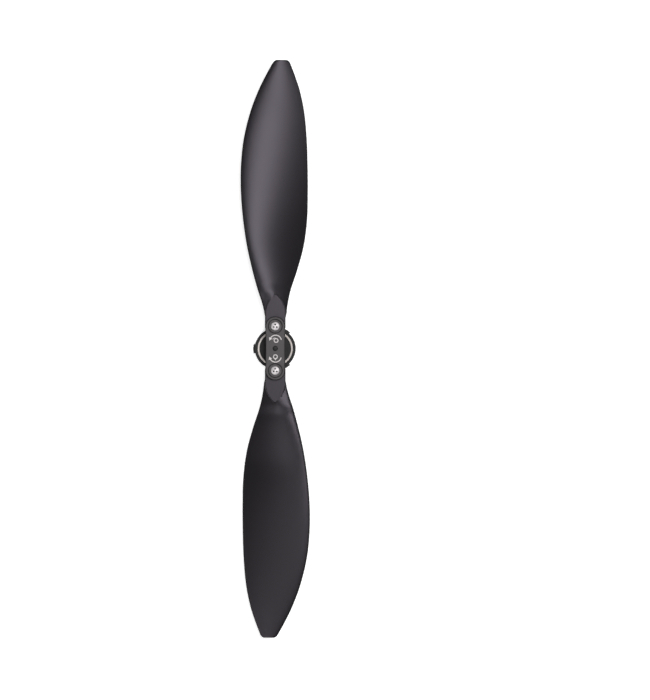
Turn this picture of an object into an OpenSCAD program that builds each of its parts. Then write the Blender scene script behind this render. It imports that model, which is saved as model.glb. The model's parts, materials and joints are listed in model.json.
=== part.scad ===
// Folding two-blade propeller with a push-and-turn hub.
// The spin axis is Z, the blades lie along Y, and the hub stands on z = 0.

/* [Propeller] */
// Diameter that the blade tips sweep
diameter = 330; // [260:2:440]
// Advance of the blade's chord line in one turn
pitch = 114; // [80:1:150]
// Distance between the two blade pivots
pivot_spacing = 25.2; // [23:0.2:34]

/* [Blade] */
// Widest part of a blade, seen from above
blade_chord = 38.5; // [28:0.2:46]
// Thickness of the blade section near the root
section_root_t = 4; // [3:0.1:4.8]
// Thickness of the blade section at the tip
section_tip_t = 1; // [0.6:0.1:2]
// Thickness of the trailing edge
trailing_edge_t = 0.5; // [0.3:0.1:1]
// Rise of the section's middle line, in percent of the chord
camber = 3.5; // [0:0.5:6]
// Radius of the two corners of the tip
tip_corner = 1.7; // [0.5:0.1:2.5]
// Width of the blade root
root_w = 11.8; // [10:0.1:13]
// Height of the blade root
root_h = 5; // [4.5:0.1:7]
// Distance from the pivot to the point of the flat root pad
root_pad_l = 18.8; // [14:0.1:24]
// Straight length of the root pad before its pointed arch
root_pad_straight = 7.5; // [4:0.1:9]
// Distance from the pivot at which the ridge of the root has become an aerofoil
root_blend_l = 30; // [22:0.5:45]
// Distance from the pivot at which the blade has its full twist
twist_blend_l = 56; // [45:1:80]
// Place of the line that the sections twist about, in percent of the way to the leading edge
twist_line = 70; // [0:5:100]
// Height of that line above the middle of the root, as far as the root pad goes
twist_line_rise = 0.3; // [0:0.05:0.4]
// Depth of the blade's crest below the face of the root pad
crest_drop = 0.05; // [0.02:0.01:0.3]
// Height of the step that the blade makes past the point of the root pad
pad_step_h = 0.7; // [0:0.1:1]
// Length of that step
pad_step_l = 7; // [5:0.5:12]

/* [Hub] */
// Width of the top plate
plate_w = 10.4; // [9:0.1:11]
// Thickness of the top plate
plate_h = 2.8; // [2:0.1:5]
// Chamfer round the top of the plate
plate_chamfer = 0.4; // [0.2:0.1:1]
// Width of the yoke arms and diameter of the shims
arm_w = 11.4; // [9:0.1:12]
// Thickness of the yoke arms
arm_h = 3.2; // [2.8:0.1:6]
// Diameter of the boss between the two blade roots
boss_d = 8.8; // [7:0.1:9.8]
// Diameter of the hole in the middle of the plate, which takes a spigot of the yoke
centre_hole_d = 2.9; // [1:0.1:4]
// Depth of the spigot's end below the top of the plate
spigot_recess = 0.8; // [0.2:0.1:1.5]

/* [Base] */
// Diameter of the round base
base_d = 23.5; // [22:0.1:25]
// Height of the round base
base_h = 5; // [4:0.1:8]
// Reach of the bayonet lugs beyond the base
lug_reach = 0.9; // [0.6:0.1:2.5]
// Angle that each lug covers
lug_angle = 25; // [15:1:45]
// Height of the lugs
lug_h = 2; // [1.2:0.1:3]
// Distance of the marker ring from the rim of the base
ring_inset = 1.7; // [0.6:0.05:1.75]
// Width of the marker ring
ring_w = 1; // [0.8:0.1:1.6]
// Thickness of the marker ring
ring_h = 0.8; // [0.5:0.1:1.5]
// Bore of the centre bush
bush_bore_d = 6; // [4.5:0.1:7]
// Wall of the centre bush
bush_wall = 1; // [0.8:0.1:1.4]
// Width of the bush flange beyond its wall
bush_flange_w = 0.9; // [0.5:0.1:1.2]
// Thickness of the bush flange
bush_flange_h = 0.8; // [0.5:0.1:1.5]
// Depth of the bush end inside the base
bush_recess = 0.3; // [0.1:0.1:1]

/* [Fasteners] */
// Diameter of the pivot screws
screw_d = 2.5; // [2:0.1:3]
// Diameter of the pivot screw head
head_d = 4.8; // [4:0.1:5.6]
// Height of the pivot screw head
head_h = 1.6; // [1.2:0.1:2.5]
// Fall of the domed head from its middle to its rim
head_crown = 0.5; // [0.2:0.1:0.9]
// Diameter of the three drive holes in the head
drive_hole_d = 1; // [0.5:0.1:1.2]
// Diameter of the circle that the drive holes lie on
drive_circle_d = 2; // [1.8:0.1:3]
// Depth of the drive holes
drive_hole_depth = 0.9; // [0.4:0.1:1.1]
// Diameter of the washers under the screw heads
washer_d = 7.2; // [5.8:0.1:7.8]
// Thickness of the washers
washer_t = 0.8; // [0.3:0.1:1]
// Depth of the pockets in the top plate
pocket_depth = 1.4; // [0.5:0.1:1.6]
// Gap round a washer in its pocket
pocket_gap = 0.6; // [0.2:0.1:0.8]
// Width of the nuts across their flats
nut_af = 5; // [4.5:0.1:6]
// Height of the nuts
nut_h = 2; // [1.2:0.1:2.2]
// Outer diameter of the pivot sleeves
sleeve_d = 4.4; // [3.8:0.1:5.5]
// Thickness of the shims
shim_t = 0.3; // [0.2:0.05:0.8]
// Diameter of the base screws
base_screw_d = 2; // [1.6:0.1:2.2]
// Diameter of the countersunk base screw heads
base_head_d = 3.8; // [3.2:0.1:4]
// Depth that the base screws reach into the yoke
base_screw_grip = 2.2; // [1.5:0.1:2.4]
// Wall between a base screw and the bush flange
base_screw_wall = 0.4; // [0.1:0.1:0.5]
// Angle of the base screws from the X axis
base_screw_angle = 65; // [60:1:72]
// Width of the socket in a base screw head, over its corners
base_socket_d = 1.2; // [0.8:0.1:1.4]
// Depth of that socket
base_socket_depth = 0.6; // [0.3:0.1:0.8]

/* [Fits] */
// Gap between a turning blade and its sleeve or shim
running_gap = 0.05; // [0.03:0.01:0.1]
// Gap round a screw in a plain hole
screw_gap = 0.1; // [0.05:0.05:0.2]
// Gap round a screw in its thread
thread_gap = 0.03; // [0.02:0.01:0.05]
// Gap round a part that is set into a seat
seat_gap = 0.04; // [0.02:0.01:0.1]

/* [Hidden] */
$fn = 64;

// Overlap of a cutter past the face that it cuts
cut = 0.5;
pivot_y = pivot_spacing / 2;
blade_l = diameter / 2 - pivot_y;
// Heights of the stacked faces
yoke_z = base_h;
arm_top = yoke_z + arm_h;
root_z = arm_top + shim_t + running_gap;
root_top = root_z + root_h;
plate_z = root_top + running_gap + shim_t;
plate_top = plate_z + plate_h;
pocket_z = plate_top - pocket_depth;
spigot_top = plate_top - spigot_recess;
head_z = pocket_z + washer_t;
nut_z = yoke_z;
pocket_d = washer_d + 2 * pocket_gap;
screw_hole_d = screw_d + 2 * screw_gap;
lug_r = base_d / 2 + lug_reach;
ring_d = base_d - 2 * ring_inset;
ring_inner_d = ring_d - 2 * ring_w;
// Bush sizes from its bore outwards, and the base screws round its flange
bush_d = bush_bore_d + 2 * bush_wall;
bush_flange_d = bush_d + 2 * bush_flange_w;
base_screw_r = bush_flange_d / 2 + seat_gap + base_screw_wall + base_screw_d / 2 + screw_gap;
// Three lugs, one of them towards -X
lug_count = 3;
lug_start = 180;
drive_hole_count = 3;
// A hexagon's corners lie this much further out than its flats
hex_corner = 1 / cos(30);

// Plan of a blade: share of its length from the pivot, then how far its leading and its trailing
// edge lie from the line through the pivot, as a share of the widest chord
PLAN = [
  [0.05, 0.164, 0.169],
  [0.09, 0.200, 0.189],
  [0.14, 0.265, 0.234],
  [0.21, 0.340, 0.325],
  [0.30, 0.420, 0.422],
  [0.40, 0.478, 0.475],
  [0.50, 0.510, 0.486],
  [0.60, 0.510, 0.483],
  [0.70, 0.470, 0.470],
  [0.80, 0.376, 0.435],
  [0.88, 0.259, 0.372],
  [0.94, 0.145, 0.296],
  [1.00, 0.014, 0.203]
];
LEAD = 1;
TRAIL = 2;
plan_last = len(PLAN) - 1;
// The loft starts inside the root pad, a little narrower than the plan, and its first sections lie closest
loft_sections = 48;
loft_power = 1.4;
loft_start = root_pad_straight / 4;
loft_tuck = 0.12;
corner_steps = 4;
// Points along one face of a section
section_steps = 15;
// Power that shapes the thinning of the blade
taper_power = 0.9;
// Ridge at the root: roundness of its crest, fall of its nose side, share of the pad's length over which
// that fall grows, and the powers that close the nose and round the tail side
crest_round = 0.2;
nose_fall = 0.8;
nose_fall_share = 0.85;
nose_power = 20;
tail_power = 1.6;
tail_round = 0.8;
// The tail side, between these two shares of the chord, becomes an aerofoil sooner, at the end of the pad
tail_start = 0.35;
tail_full = 0.65;
// Share of the trailing edge's thickness that is left at the root
tail_least = 0.2;

function smooth(t) = t <= 0 ? 0 : t >= 1 ? 1 : t * t * (3 - 2 * t);
function mix(a, b, t) = a + (b - a) * t;

// Smooth curve through the plan's stations, with the root's half width at the pivot
function plan_row(i) = i < 0 ? [0, root_w / 2 / blade_chord, root_w / 2 / blade_chord] : PLAN[i];
function plan_slope(i, side) =
  i < 0 ? 0 :
  i == plan_last ? (PLAN[i][side] - PLAN[i - 1][side]) / (PLAN[i][0] - PLAN[i - 1][0]) :
  (plan_row(i + 1)[side] - plan_row(i - 1)[side]) / (plan_row(i + 1)[0] - plan_row(i - 1)[0]);
function plan_index(u, i = plan_last - 1) = i < 0 || u >= PLAN[i][0] ? i : plan_index(u, i - 1);
function hermite(a, b, sa, sb, span, t) =
  a * (1 + 2 * t) * (1 - t) * (1 - t) + sa * span * t * (1 - t) * (1 - t)
  + b * t * t * (3 - 2 * t) - sb * span * t * t * (1 - t);
function plan_share(u, side) =
  let (i = plan_index(u), a = plan_row(i), b = plan_row(i + 1), span = b[0] - a[0])
  hermite(a[side], b[side], plan_slope(i, side), plan_slope(i + 1, side), span, (u - a[0]) / span);
// The tip's two corners are rounded by drawing both edges in along a quarter circle
function corner_inset(s) =
  let (past = max(0, s - (blade_l - tip_corner)))
  tip_corner - sqrt(max(0, tip_corner * tip_corner - past * past));
function edge(s, side) = plan_share(s / blade_l, side) * blade_chord - corner_inset(s);

// Twist, thickness and form of the section at distance s from the pivot
function blend(s) = smooth((s - root_pad_straight) / (root_blend_l - root_pad_straight));
function twist_share(s) =
  let (t = min(1, s / twist_blend_l))
  (t + smooth(t)) / 2;
function twist_slope(s) = tan(atan(pitch / (2 * PI * (s + pivot_y))) * twist_share(s));
function section_t(s) = mix(
  root_h - 2 * (twist_line_rise + crest_drop),
  mix(section_tip_t, section_root_t, pow(max(0, 1 - s / blade_l), taper_power)),
  blend(s)
);
// Thickness along the chord: the usual four-digit aerofoil, and a ridge at the root
function foil_form(c) =
  2.969 * sqrt(c) - 1.26 * c - 3.516 * c * c + 2.843 * pow(c, 3) - 1.036 * pow(c, 4);
function crest_fall(u) = sqrt(u * u + crest_round * crest_round) - crest_round;
function nose_form(s, u) =
  let (fall = nose_fall * min(1, s / (nose_fall_share * root_pad_l)))
  (1 - fall * crest_fall(u) / crest_fall(1)) * sqrt(max(0, 1 - pow(u, nose_power)));
function ridge_form(s, c) =
  c < 0.5 ? nose_form(s, 1 - 2 * c) : pow(max(0, 1 - pow(2 * c - 1, tail_power)), tail_round);
function foil_share(s, c) =
  mix(blend(s), smooth(s / root_pad_l), smooth((c - tail_start) / (tail_full - tail_start)));
function half_t(s, c) =
  section_t(s) / 2 * mix(ridge_form(s, c), foil_form(c), foil_share(s, c))
  + trailing_edge_t / 2 * c * mix(tail_least, 1, blend(s));
function twist_line_z(s) =
  root_z + root_h / 2 + twist_line_rise - pad_step_h * smooth((s - root_pad_l) / pad_step_l);
function middle_z(s, c, x) =
  twist_line_z(s) - (x + twist_line / 100 * twist_share(s) * edge(s, LEAD)) * twist_slope(s)
  + camber / 100 * (edge(s, LEAD) + edge(s, TRAIL)) * 4 * c * (1 - c) * blend(s);
function tuck(s) = 1 - loft_tuck * (1 - smooth((s - loft_start) / (root_pad_straight - loft_start)));
function section_point(s, c, face) =
  let (x = mix(-edge(s, LEAD), edge(s, TRAIL), c) * tuck(s))
  [x, pivot_y + s, middle_z(s, c, x) + face * half_t(s, c)];

// Closed loop of one section: over the top from the leading edge, and back underneath
function chord_share(k) = (1 - cos(180 * k / section_steps)) / 2;
function section_loop(s) = concat(
  [for (k = [0 : section_steps]) section_point(s, chord_share(k), 1)],
  [for (k = [section_steps : -1 : 1]) section_point(s, chord_share(k), -1)]
);
loop_size = 2 * section_steps + 1;
SPAN = concat(
  [for (i = [0 : loft_sections])
    mix(loft_start, blade_l - tip_corner, pow(i / loft_sections, loft_power))],
  [for (i = [1 : corner_steps]) blade_l - tip_corner * (1 - sin(90 * i / corner_steps))]
);

module blade_loft() {
  points = [for (s = SPAN) each section_loop(s)];
  rings = len(SPAN);
  sides = [
    for (r = [0 : rings - 2], k = [0 : loop_size - 1])
      let (a = r * loop_size + k, b = r * loop_size + (k + 1) % loop_size)
      each [[a, a + loop_size, b], [b, a + loop_size, b + loop_size]]
  ];
  root_cap = [for (k = [0 : loop_size - 1]) k];
  tip_cap = [for (k = [loop_size - 1 : -1 : 0]) (rings - 1) * loop_size + k];
  polyhedron(points, concat(sides, [root_cap, tip_cap]));
}

// Flat root: a round eye, straight sides and a pointed arch of two arcs
module root_outline() {
  half_w = root_w / 2;
  arch_h = root_pad_l - root_pad_straight;
  arc_r = (half_w * half_w + arch_h * arch_h) / root_w;
  circle(half_w);
  translate([-half_w, 0]) square([root_w, root_pad_straight]);
  translate([0, root_pad_straight]) intersection() {
    translate([half_w - arc_r, 0]) circle(arc_r, $fn = 128);
    translate([arc_r - half_w, 0]) circle(arc_r, $fn = 128);
    translate([-half_w, 0]) square([root_w, arch_h + cut]);
  }
}

module blade() {
  color("#2a292b") difference() {
    union() {
      blade_loft();
      translate([0, pivot_y, root_z]) linear_extrude(root_h) root_outline();
    }
    translate([0, pivot_y, root_z - cut])
      cylinder(h = root_h + 2 * cut, d = sleeve_d + 2 * running_gap);
  }
}

module tube(outer_d, inner_d, h) {
  difference() {
    cylinder(h = h, d = outer_d);
    translate([0, 0, -cut]) cylinder(h = h + 2 * cut, d = inner_d);
  }
}

// Bar with round ends over both pivots, with its top edge chamfered
module round_bar(w, h, chamfer) {
  half_w = w / 2;
  half = [[0, 0], [half_w, 0], [half_w, h - chamfer], [half_w - chamfer, h], [0, h]];
  rotate([90, 0, 0]) linear_extrude(pivot_spacing, center = true) {
    polygon(half);
    mirror([1, 0]) polygon(half);
  }
  at_pivots() rotate_extrude() polygon(half);
}

module at_pivots() {
  for (side = [1, -1]) translate([0, side * pivot_y, 0]) children();
}

module at_base_screws() {
  for (angle = [base_screw_angle, 180 - base_screw_angle], half = [0, 180])
    rotate(angle + half) translate([base_screw_r, 0, 0]) children();
}

module sector(r, angle, h) {
  reach = r / cos(angle / 2);
  linear_extrude(h) intersection() {
    circle(r);
    polygon([[0, 0], for (side = [-1, 1]) reach * [cos(angle / 2), side * sin(angle / 2)]]);
  }
}

module base_screw(gap, top) {
  shank_d = base_screw_d + 2 * gap;
  cylinder(h = (base_head_d - base_screw_d) / 2, d1 = base_head_d + 2 * gap, d2 = shank_d);
  cylinder(h = top, d = shank_d);
}

module bayonet_base() {
  color("#232224") difference() {
    union() {
      cylinder(h = base_h, d = base_d);
      for (i = [0 : lug_count - 1])
        rotate(lug_start + i * 360 / lug_count) sector(lug_r, lug_angle, lug_h);
    }
    translate([0, 0, base_h - ring_h])
      tube(ring_d + 2 * seat_gap, ring_inner_d - 2 * seat_gap, ring_h + cut);
    translate([0, 0, -cut]) cylinder(h = base_h + 2 * cut, d = bush_d + 2 * seat_gap);
    translate([0, 0, base_h - bush_flange_h])
      cylinder(h = bush_flange_h + cut, d = bush_flange_d + 2 * seat_gap);
    at_base_screws() base_screw(screw_gap, base_h + cut);
  }
}

module id_ring() {
  color("#cdc4c1") translate([0, 0, base_h - ring_h]) tube(ring_d, ring_inner_d, ring_h);
}

module centre_bush() {
  color("#c9a45c") difference() {
    union() {
      translate([0, 0, bush_recess]) cylinder(h = base_h - bush_recess, d = bush_d);
      translate([0, 0, base_h - bush_flange_h]) cylinder(h = bush_flange_h, d = bush_flange_d);
    }
    cylinder(h = base_h + cut, d = bush_bore_d);
  }
}

module base_screws() {
  color("#55565a") at_base_screws() difference() {
    base_screw(0, base_h + base_screw_grip);
    translate([0, 0, -cut]) cylinder(h = base_socket_depth + cut, d = base_socket_d, $fn = 6);
  }
}

module hub_yoke() {
  color("#2b2a2c") difference() {
    union() {
      translate([0, 0, yoke_z]) round_bar(arm_w, arm_h, 0);
      translate([0, 0, yoke_z]) cylinder(h = plate_z - yoke_z, d = boss_d);
      translate([0, 0, yoke_z]) cylinder(h = spigot_top - yoke_z, d = centre_hole_d - 2 * seat_gap);
    }
    at_pivots() translate([0, 0, yoke_z - cut]) cylinder(h = arm_h + 2 * cut, d = screw_hole_d);
    at_pivots() translate([0, 0, yoke_z - cut])
      cylinder(h = nut_h + cut, d = (nut_af + 2 * seat_gap) * hex_corner, $fn = 6);
    at_base_screws() translate([0, 0, yoke_z - cut])
      cylinder(h = base_screw_grip + 2 * cut, d = base_screw_d + 2 * thread_gap);
  }
}

module top_plate() {
  color("#5c5a5c") difference() {
    translate([0, 0, plate_z]) round_bar(plate_w, plate_h, plate_chamfer);
    at_pivots() translate([0, 0, pocket_z]) cylinder(h = pocket_depth + cut, d = pocket_d);
    at_pivots() translate([0, 0, plate_z - cut]) cylinder(h = plate_h + 2 * cut, d = screw_hole_d);
    translate([0, 0, plate_z - cut]) cylinder(h = plate_h + 2 * cut, d = centre_hole_d);
  }
}

module pivot_sleeve() {
  color("#c8c8ca") translate([0, pivot_y, arm_top])
    tube(sleeve_d, screw_hole_d, plate_z - arm_top);
}

module shim(z) {
  color("#1e1d1f") translate([0, pivot_y, z])
    tube(arm_w, sleeve_d + 2 * running_gap, shim_t);
}

// A screw head with its first drive hole at the given angle
module pivot_screw(first_hole) {
  crown_r = (head_d * head_d / 4 + head_crown * head_crown) / (2 * head_crown);
  color("#e4e1e2") translate([0, pivot_y, 0]) difference() {
    union() {
      translate([0, 0, nut_z]) cylinder(h = head_z - nut_z + cut, d = screw_d);
      translate([0, 0, head_z]) intersection() {
        cylinder(h = head_h, d = head_d);
        translate([0, 0, head_h - crown_r]) sphere(crown_r);
      }
    }
    for (i = [0 : drive_hole_count - 1]) rotate(first_hole + i * 360 / drive_hole_count)
      translate([drive_circle_d / 2, 0, head_z + head_h - drive_hole_depth])
        cylinder(h = drive_hole_depth + cut, d = drive_hole_d);
  }
}

module screw_washer() {
  color("#605e61") translate([0, pivot_y, pocket_z]) tube(washer_d, screw_hole_d, washer_t);
}

module lock_nut() {
  color("#b9bbbf") translate([0, pivot_y, nut_z]) difference() {
    cylinder(h = nut_h, d = nut_af * hex_corner, $fn = 6);
    translate([0, 0, -cut]) cylinder(h = nut_h + 2 * cut, d = screw_d + 2 * thread_gap);
  }
}

// The second blade and its pivot are the first ones turned half round
module opposite() {
  rotate(180) children();
}

bayonet_base();
id_ring();
centre_bush();
base_screws();
hub_yoke();
top_plate();
blade();  // blade_a
opposite() blade();  // blade_b
pivot_sleeve();  // pivot_sleeve_a
opposite() pivot_sleeve();  // pivot_sleeve_b
shim(arm_top);  // lower_shim_a
opposite() shim(arm_top);  // lower_shim_b
shim(plate_z - shim_t);  // upper_shim_a
opposite() shim(plate_z - shim_t);  // upper_shim_b
pivot_screw(90);  // pivot_screw_a
opposite() pivot_screw(270);  // pivot_screw_b
screw_washer();  // screw_washer_a
opposite() screw_washer();  // screw_washer_b
lock_nut();  // lock_nut_a
opposite() lock_nut();  // lock_nut_b
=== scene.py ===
# %% [markdown]
# # Dressing a folding propeller
#
# The solid model already fixes every size and every joint of this propeller: two twisted blades that
# swing on screws under a grey clamp plate, above a round hub that turns into a motor. A solid model is
# made to be measured, so its blades are faceted and its edges are sharp. This lesson puts a smooth,
# finished piece over each solid, and then a material, a light and a camera.

import json
import math

import bmesh
import bpy
from mathutils import Matrix, Vector


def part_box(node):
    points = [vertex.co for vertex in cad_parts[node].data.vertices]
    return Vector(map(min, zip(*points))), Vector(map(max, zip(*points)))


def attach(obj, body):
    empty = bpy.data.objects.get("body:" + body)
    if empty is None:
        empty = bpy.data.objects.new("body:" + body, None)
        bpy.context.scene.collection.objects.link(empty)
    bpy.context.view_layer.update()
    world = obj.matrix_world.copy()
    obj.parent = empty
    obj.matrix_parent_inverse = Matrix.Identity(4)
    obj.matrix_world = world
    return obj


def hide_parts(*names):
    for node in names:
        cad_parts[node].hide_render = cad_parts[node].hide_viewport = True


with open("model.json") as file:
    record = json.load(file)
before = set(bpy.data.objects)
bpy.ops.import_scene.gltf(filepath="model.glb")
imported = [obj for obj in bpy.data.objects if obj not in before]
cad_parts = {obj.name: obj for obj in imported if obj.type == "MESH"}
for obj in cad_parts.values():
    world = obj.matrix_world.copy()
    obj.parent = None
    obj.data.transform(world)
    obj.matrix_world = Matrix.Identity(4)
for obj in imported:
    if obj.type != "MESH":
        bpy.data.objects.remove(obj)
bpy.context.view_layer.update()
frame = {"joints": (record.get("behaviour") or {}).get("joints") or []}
MM = 0.001

# %% [markdown]
# ## Sizes that come from the frame
#
# A piece that covers a solid has to sit exactly where the solid is. So the heights and radii below are
# read from the solids' boxes and from the joints, and only what a box can't tell is written as a number.

# %% Read the pivots, heights and slots
pivot_y = frame["joints"][0]["pos_m"][1]
RUNNING_GAP = 0.05 * MM


def floor_of(node):
    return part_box(node)[0].z


def top_of(node):
    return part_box(node)[1].z


def radius_of(node):
    low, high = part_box(node)
    return (high.x - low.x) / 2


root_z = top_of("lower_shim_a") + RUNNING_GAP
root_top = floor_of("upper_shim_a") - RUNNING_GAP
print("pivots at y = +-%.2f mm, blade roots from z = %.2f to %.2f mm" % (pivot_y / MM, root_z / MM, root_top / MM))

# %% [markdown]
# ## Camera
#
# The propeller is seen from above, through a long lens, so that its outline is nearly that of a drawing. A
# camera without rotation already looks down -Z with +Y at the top of the picture. This one hangs over the
# hub, a little towards the near blade, and leans forward, so the plate's near end shows some of its side. It
# also pans, which puts the propeller left of the middle. Its distance follows from the height of the view,
# which the sensor's long side spans.

# %% Camera above the hub, with the propeller left of the middle
IMAGE_H = 700
TIP_CIRCLE, TIP_CIRCLE_PIXELS = 330 * MM, 578
PIXEL = TIP_CIRCLE / TIP_CIRCLE_PIXELS
HUB_RIGHT_OF_CENTRE = -49.75 * PIXEL
HUB_ABOVE_CENTRE = 1.5 * PIXEL
LENS = 135.0
SENSOR = 36.0
LEAN = math.radians(0.6)

camera_data = bpy.data.cameras.new("top_camera")
camera_data.lens = LENS
camera_data.sensor_width = SENSOR
camera = bpy.data.objects.new("top_camera", camera_data)
blade_z = (root_z + root_top) / 2
view_l = IMAGE_H * PIXEL * LENS / SENSOR
camera.rotation_euler = (LEAN, math.atan(HUB_RIGHT_OF_CENTRE / view_l), 0)
aim = Vector((-HUB_RIGHT_OF_CENTRE, -HUB_ABOVE_CENTRE, blade_z))
camera.location = aim + camera.rotation_euler.to_matrix() @ Vector((0, 0, view_l))
bpy.context.scene.collection.objects.link(camera)
bpy.context.scene.camera = camera
bpy.context.scene.view_settings.view_transform = "Standard"
print("camera at", [round(v, 3) for v in camera.location], "m")

# %% [markdown]
# ## Building shader trees with little typing
#
# Every material is a small tree of nodes. Two helpers keep the trees readable: `node` adds one and sets
# its options, and `feed` fills its sockets, with a link where the value is another node's output and a
# plain number otherwise.

# %% Helpers for shader nodes
def node(tree, kind, sockets=None, **options):
    made = tree.nodes.new("ShaderNode" + kind)
    for name, value in options.items():
        setattr(made, name, value)
    feed(tree, made, sockets or {})
    return made


def feed(tree, target, sockets):
    for name, value in sockets.items():
        socket = target.inputs[name]
        if isinstance(value, bpy.types.NodeSocket):
            tree.links.new(value, socket)
        else:
            socket.default_value = value


def math_node(tree, operation, first, second=0.0):
    return node(tree, "Math", {0: first, 1: second}, operation=operation).outputs[0]


def spread(tree, mask, low, high, start=0.0, end=1.0):
    """A value that goes from low to high while the mask goes from start to end."""
    sockets = {"Value": mask, "From Min": start, "From Max": end, "To Min": low, "To Max": high}
    return node(tree, "MapRange", sockets).outputs["Result"]


def tint(tree, mask, low, high):
    """A colour that goes from low to high with the mask."""
    ramp = node(tree, "ValToRGB", {"Fac": mask})
    ramp.color_ramp.elements[0].color = (*low, 1.0)
    ramp.color_ramp.elements[1].color = (*high, 1.0)
    return ramp.outputs["Color"]


# %% [markdown]
# ## Floor and light
#
# The background is plain white. The floor is a matt white sheet, lit by the same lamp as the propeller,
# so it shows a soft shadow. For rays from the camera and for reflections it glows a little as well, which
# lifts it to full white. The glow doesn't light the object, because diffuse rays don't see it.

# %% White floor that keeps the shadow
FLOOR_HALF = 7.0
FLOOR_DROP = 0.1 * MM
FLOOR_LIFT = 0.60
PAPER_WHITE = 0.88

floor_mesh = bpy.data.meshes.new("floor")
floor_bm = bmesh.new()
bmesh.ops.create_grid(floor_bm, x_segments=1, y_segments=1, size=FLOOR_HALF)
bmesh.ops.translate(floor_bm, verts=floor_bm.verts, vec=(0, 0, -FLOOR_DROP))
floor_bm.to_mesh(floor_mesh)
floor_bm.free()
floor = bpy.data.objects.new("floor", floor_mesh)
bpy.context.scene.collection.objects.link(floor)


def white_sheet():
    material = bpy.data.materials.new("white_sheet")
    material.use_nodes = True
    tree = material.node_tree
    tree.nodes.clear()
    rays = node(tree, "LightPath").outputs
    seen = math_node(tree, "MAXIMUM", rays["Is Camera Ray"], rays["Is Glossy Ray"])
    seen = math_node(tree, "MAXIMUM", seen, rays["Is Transmission Ray"])
    glow = node(tree, "Emission", {"Strength": math_node(tree, "MULTIPLY", seen, FLOOR_LIFT)})
    paper = node(tree, "BsdfDiffuse", {"Color": (PAPER_WHITE, PAPER_WHITE, PAPER_WHITE, 1.0)})
    both = node(tree, "AddShader", {0: paper.outputs[0], 1: glow.outputs[0]})
    feed(tree, node(tree, "OutputMaterial"), {"Surface": both.outputs[0]})
    return material


floor.data.materials.append(white_sheet())
print("floor %.0f m wide, %.1f mm under the hub" % (2 * FLOOR_HALF, FLOOR_DROP / MM))

# %% [markdown]
# Satin black plastic shows little of its own colour, so what shapes it is the reflection of the lamps. The
# main lamp hangs above the hub, a little to the right and towards the far blade, and its reflection runs
# along the crest of that blade. The near blade leans the other way and shows a second, wider lamp from the
# lower left. Their watts are set so that together they light a flat white sheet to just about white. The
# world adds a dim overhead and a white horizon.

# %% Two soft lamps
def soft_lamp(name, place, size, watts):
    data = bpy.data.lights.new(name, "AREA")
    data.shape = "DISK"
    data.size = size
    data.energy = watts
    lamp = bpy.data.objects.new(name, data)
    lamp.location = place
    lamp.rotation_mode = "QUATERNION"
    lamp.rotation_quaternion = (-lamp.location).to_track_quat("-Z", "Y")
    bpy.context.scene.collection.objects.link(lamp)
    print("%s: %.1f W, %.2f m above the hub" % (name, watts, lamp.location.z))


soft_lamp("main_lamp", place=(0.25, 0.19, 1.11), size=0.46, watts=9.2)
soft_lamp("fill_lamp", place=(-0.50, -0.66, 1.20), size=0.80, watts=8.2)

# %% World
HORIZON_WHITE = 1.0
OVERHEAD_GREY = 0.06
HORIZON_TOP = 0.30

world = bpy.data.worlds.new("pale_room")
world.use_nodes = True
bpy.context.scene.world = world
sky = world.node_tree
up = node(sky, "SeparateXYZ", {"Vector": node(sky, "TexCoord").outputs["Generated"]}).outputs["Z"]
feed(sky, sky.nodes["Background"], {
    "Color": (1.0, 1.0, 1.0, 1.0),
    "Strength": spread(sky, up, HORIZON_WHITE, OVERHEAD_GREY, 0.0, HORIZON_TOP),
})
print("world: white horizon, grey %.2f overhead" % OVERHEAD_GREY)

# %% [markdown]
# ## Effects that several finishes share
#
# A real surface is never one flat colour. Moulded plastic has a fine grain and broad, faint patches,
# edges get rubbed shiny, and turned metal shows rings from the cutter. Each effect is a node group with
# its own sockets, so that every material sets its own strength. All of them read Object coordinates,
# which stay on the surface when a blade swings.

# %% Node group: moulded grain
FLAT_POINTINESS = 0.5


def new_group(name, inputs, outputs):
    group = bpy.data.node_groups.new(name, "ShaderNodeTree")
    for label, value in inputs.items():
        group.interface.new_socket(label, in_out="INPUT", socket_type="NodeSocketFloat").default_value = value
    for label in outputs:
        group.interface.new_socket(label, in_out="OUTPUT", socket_type="NodeSocketFloat")
    return group, group.nodes.new("NodeGroupInput").outputs, group.nodes.new("NodeGroupOutput")


def grain_group():
    scales = {"Grain Scale": 2500.0, "Patch Scale": 30.0}
    group, given, result = new_group("moulded_grain", scales, ["Height", "Patches"])
    place = node(group, "TexCoord").outputs["Object"]
    grain = node(group, "TexNoise", {"Vector": place, "Scale": given["Grain Scale"], "Detail": 2.0})
    patches = node(group, "TexNoise", {"Vector": place, "Scale": given["Patch Scale"], "Detail": 4.0})
    feed(group, result, {"Height": grain.outputs["Fac"], "Patches": patches.outputs["Fac"]})
    return group


moulded_grain = grain_group()
print("group:", moulded_grain.name)

# %% Node group: rubbed edges
def wear_group():
    group, given, result = new_group("rubbed_edges", {"Reach": 0.06, "Break Scale": 400.0}, ["Mask"])
    edge_at = node(group, "NewGeometry").outputs["Pointiness"]
    ends = math_node(group, "ADD", given["Reach"], FLAT_POINTINESS)
    rubbed = spread(group, edge_at, 0.0, 1.0, FLAT_POINTINESS, ends)
    place = node(group, "TexCoord").outputs["Object"]
    broken = node(group, "TexNoise", {"Vector": place, "Scale": given["Break Scale"], "Detail": 3.0})
    feed(group, result, {"Mask": math_node(group, "MULTIPLY", rubbed, broken.outputs["Fac"])})
    return group


rubbed_edges = wear_group()
print("group:", rubbed_edges.name)

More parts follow.
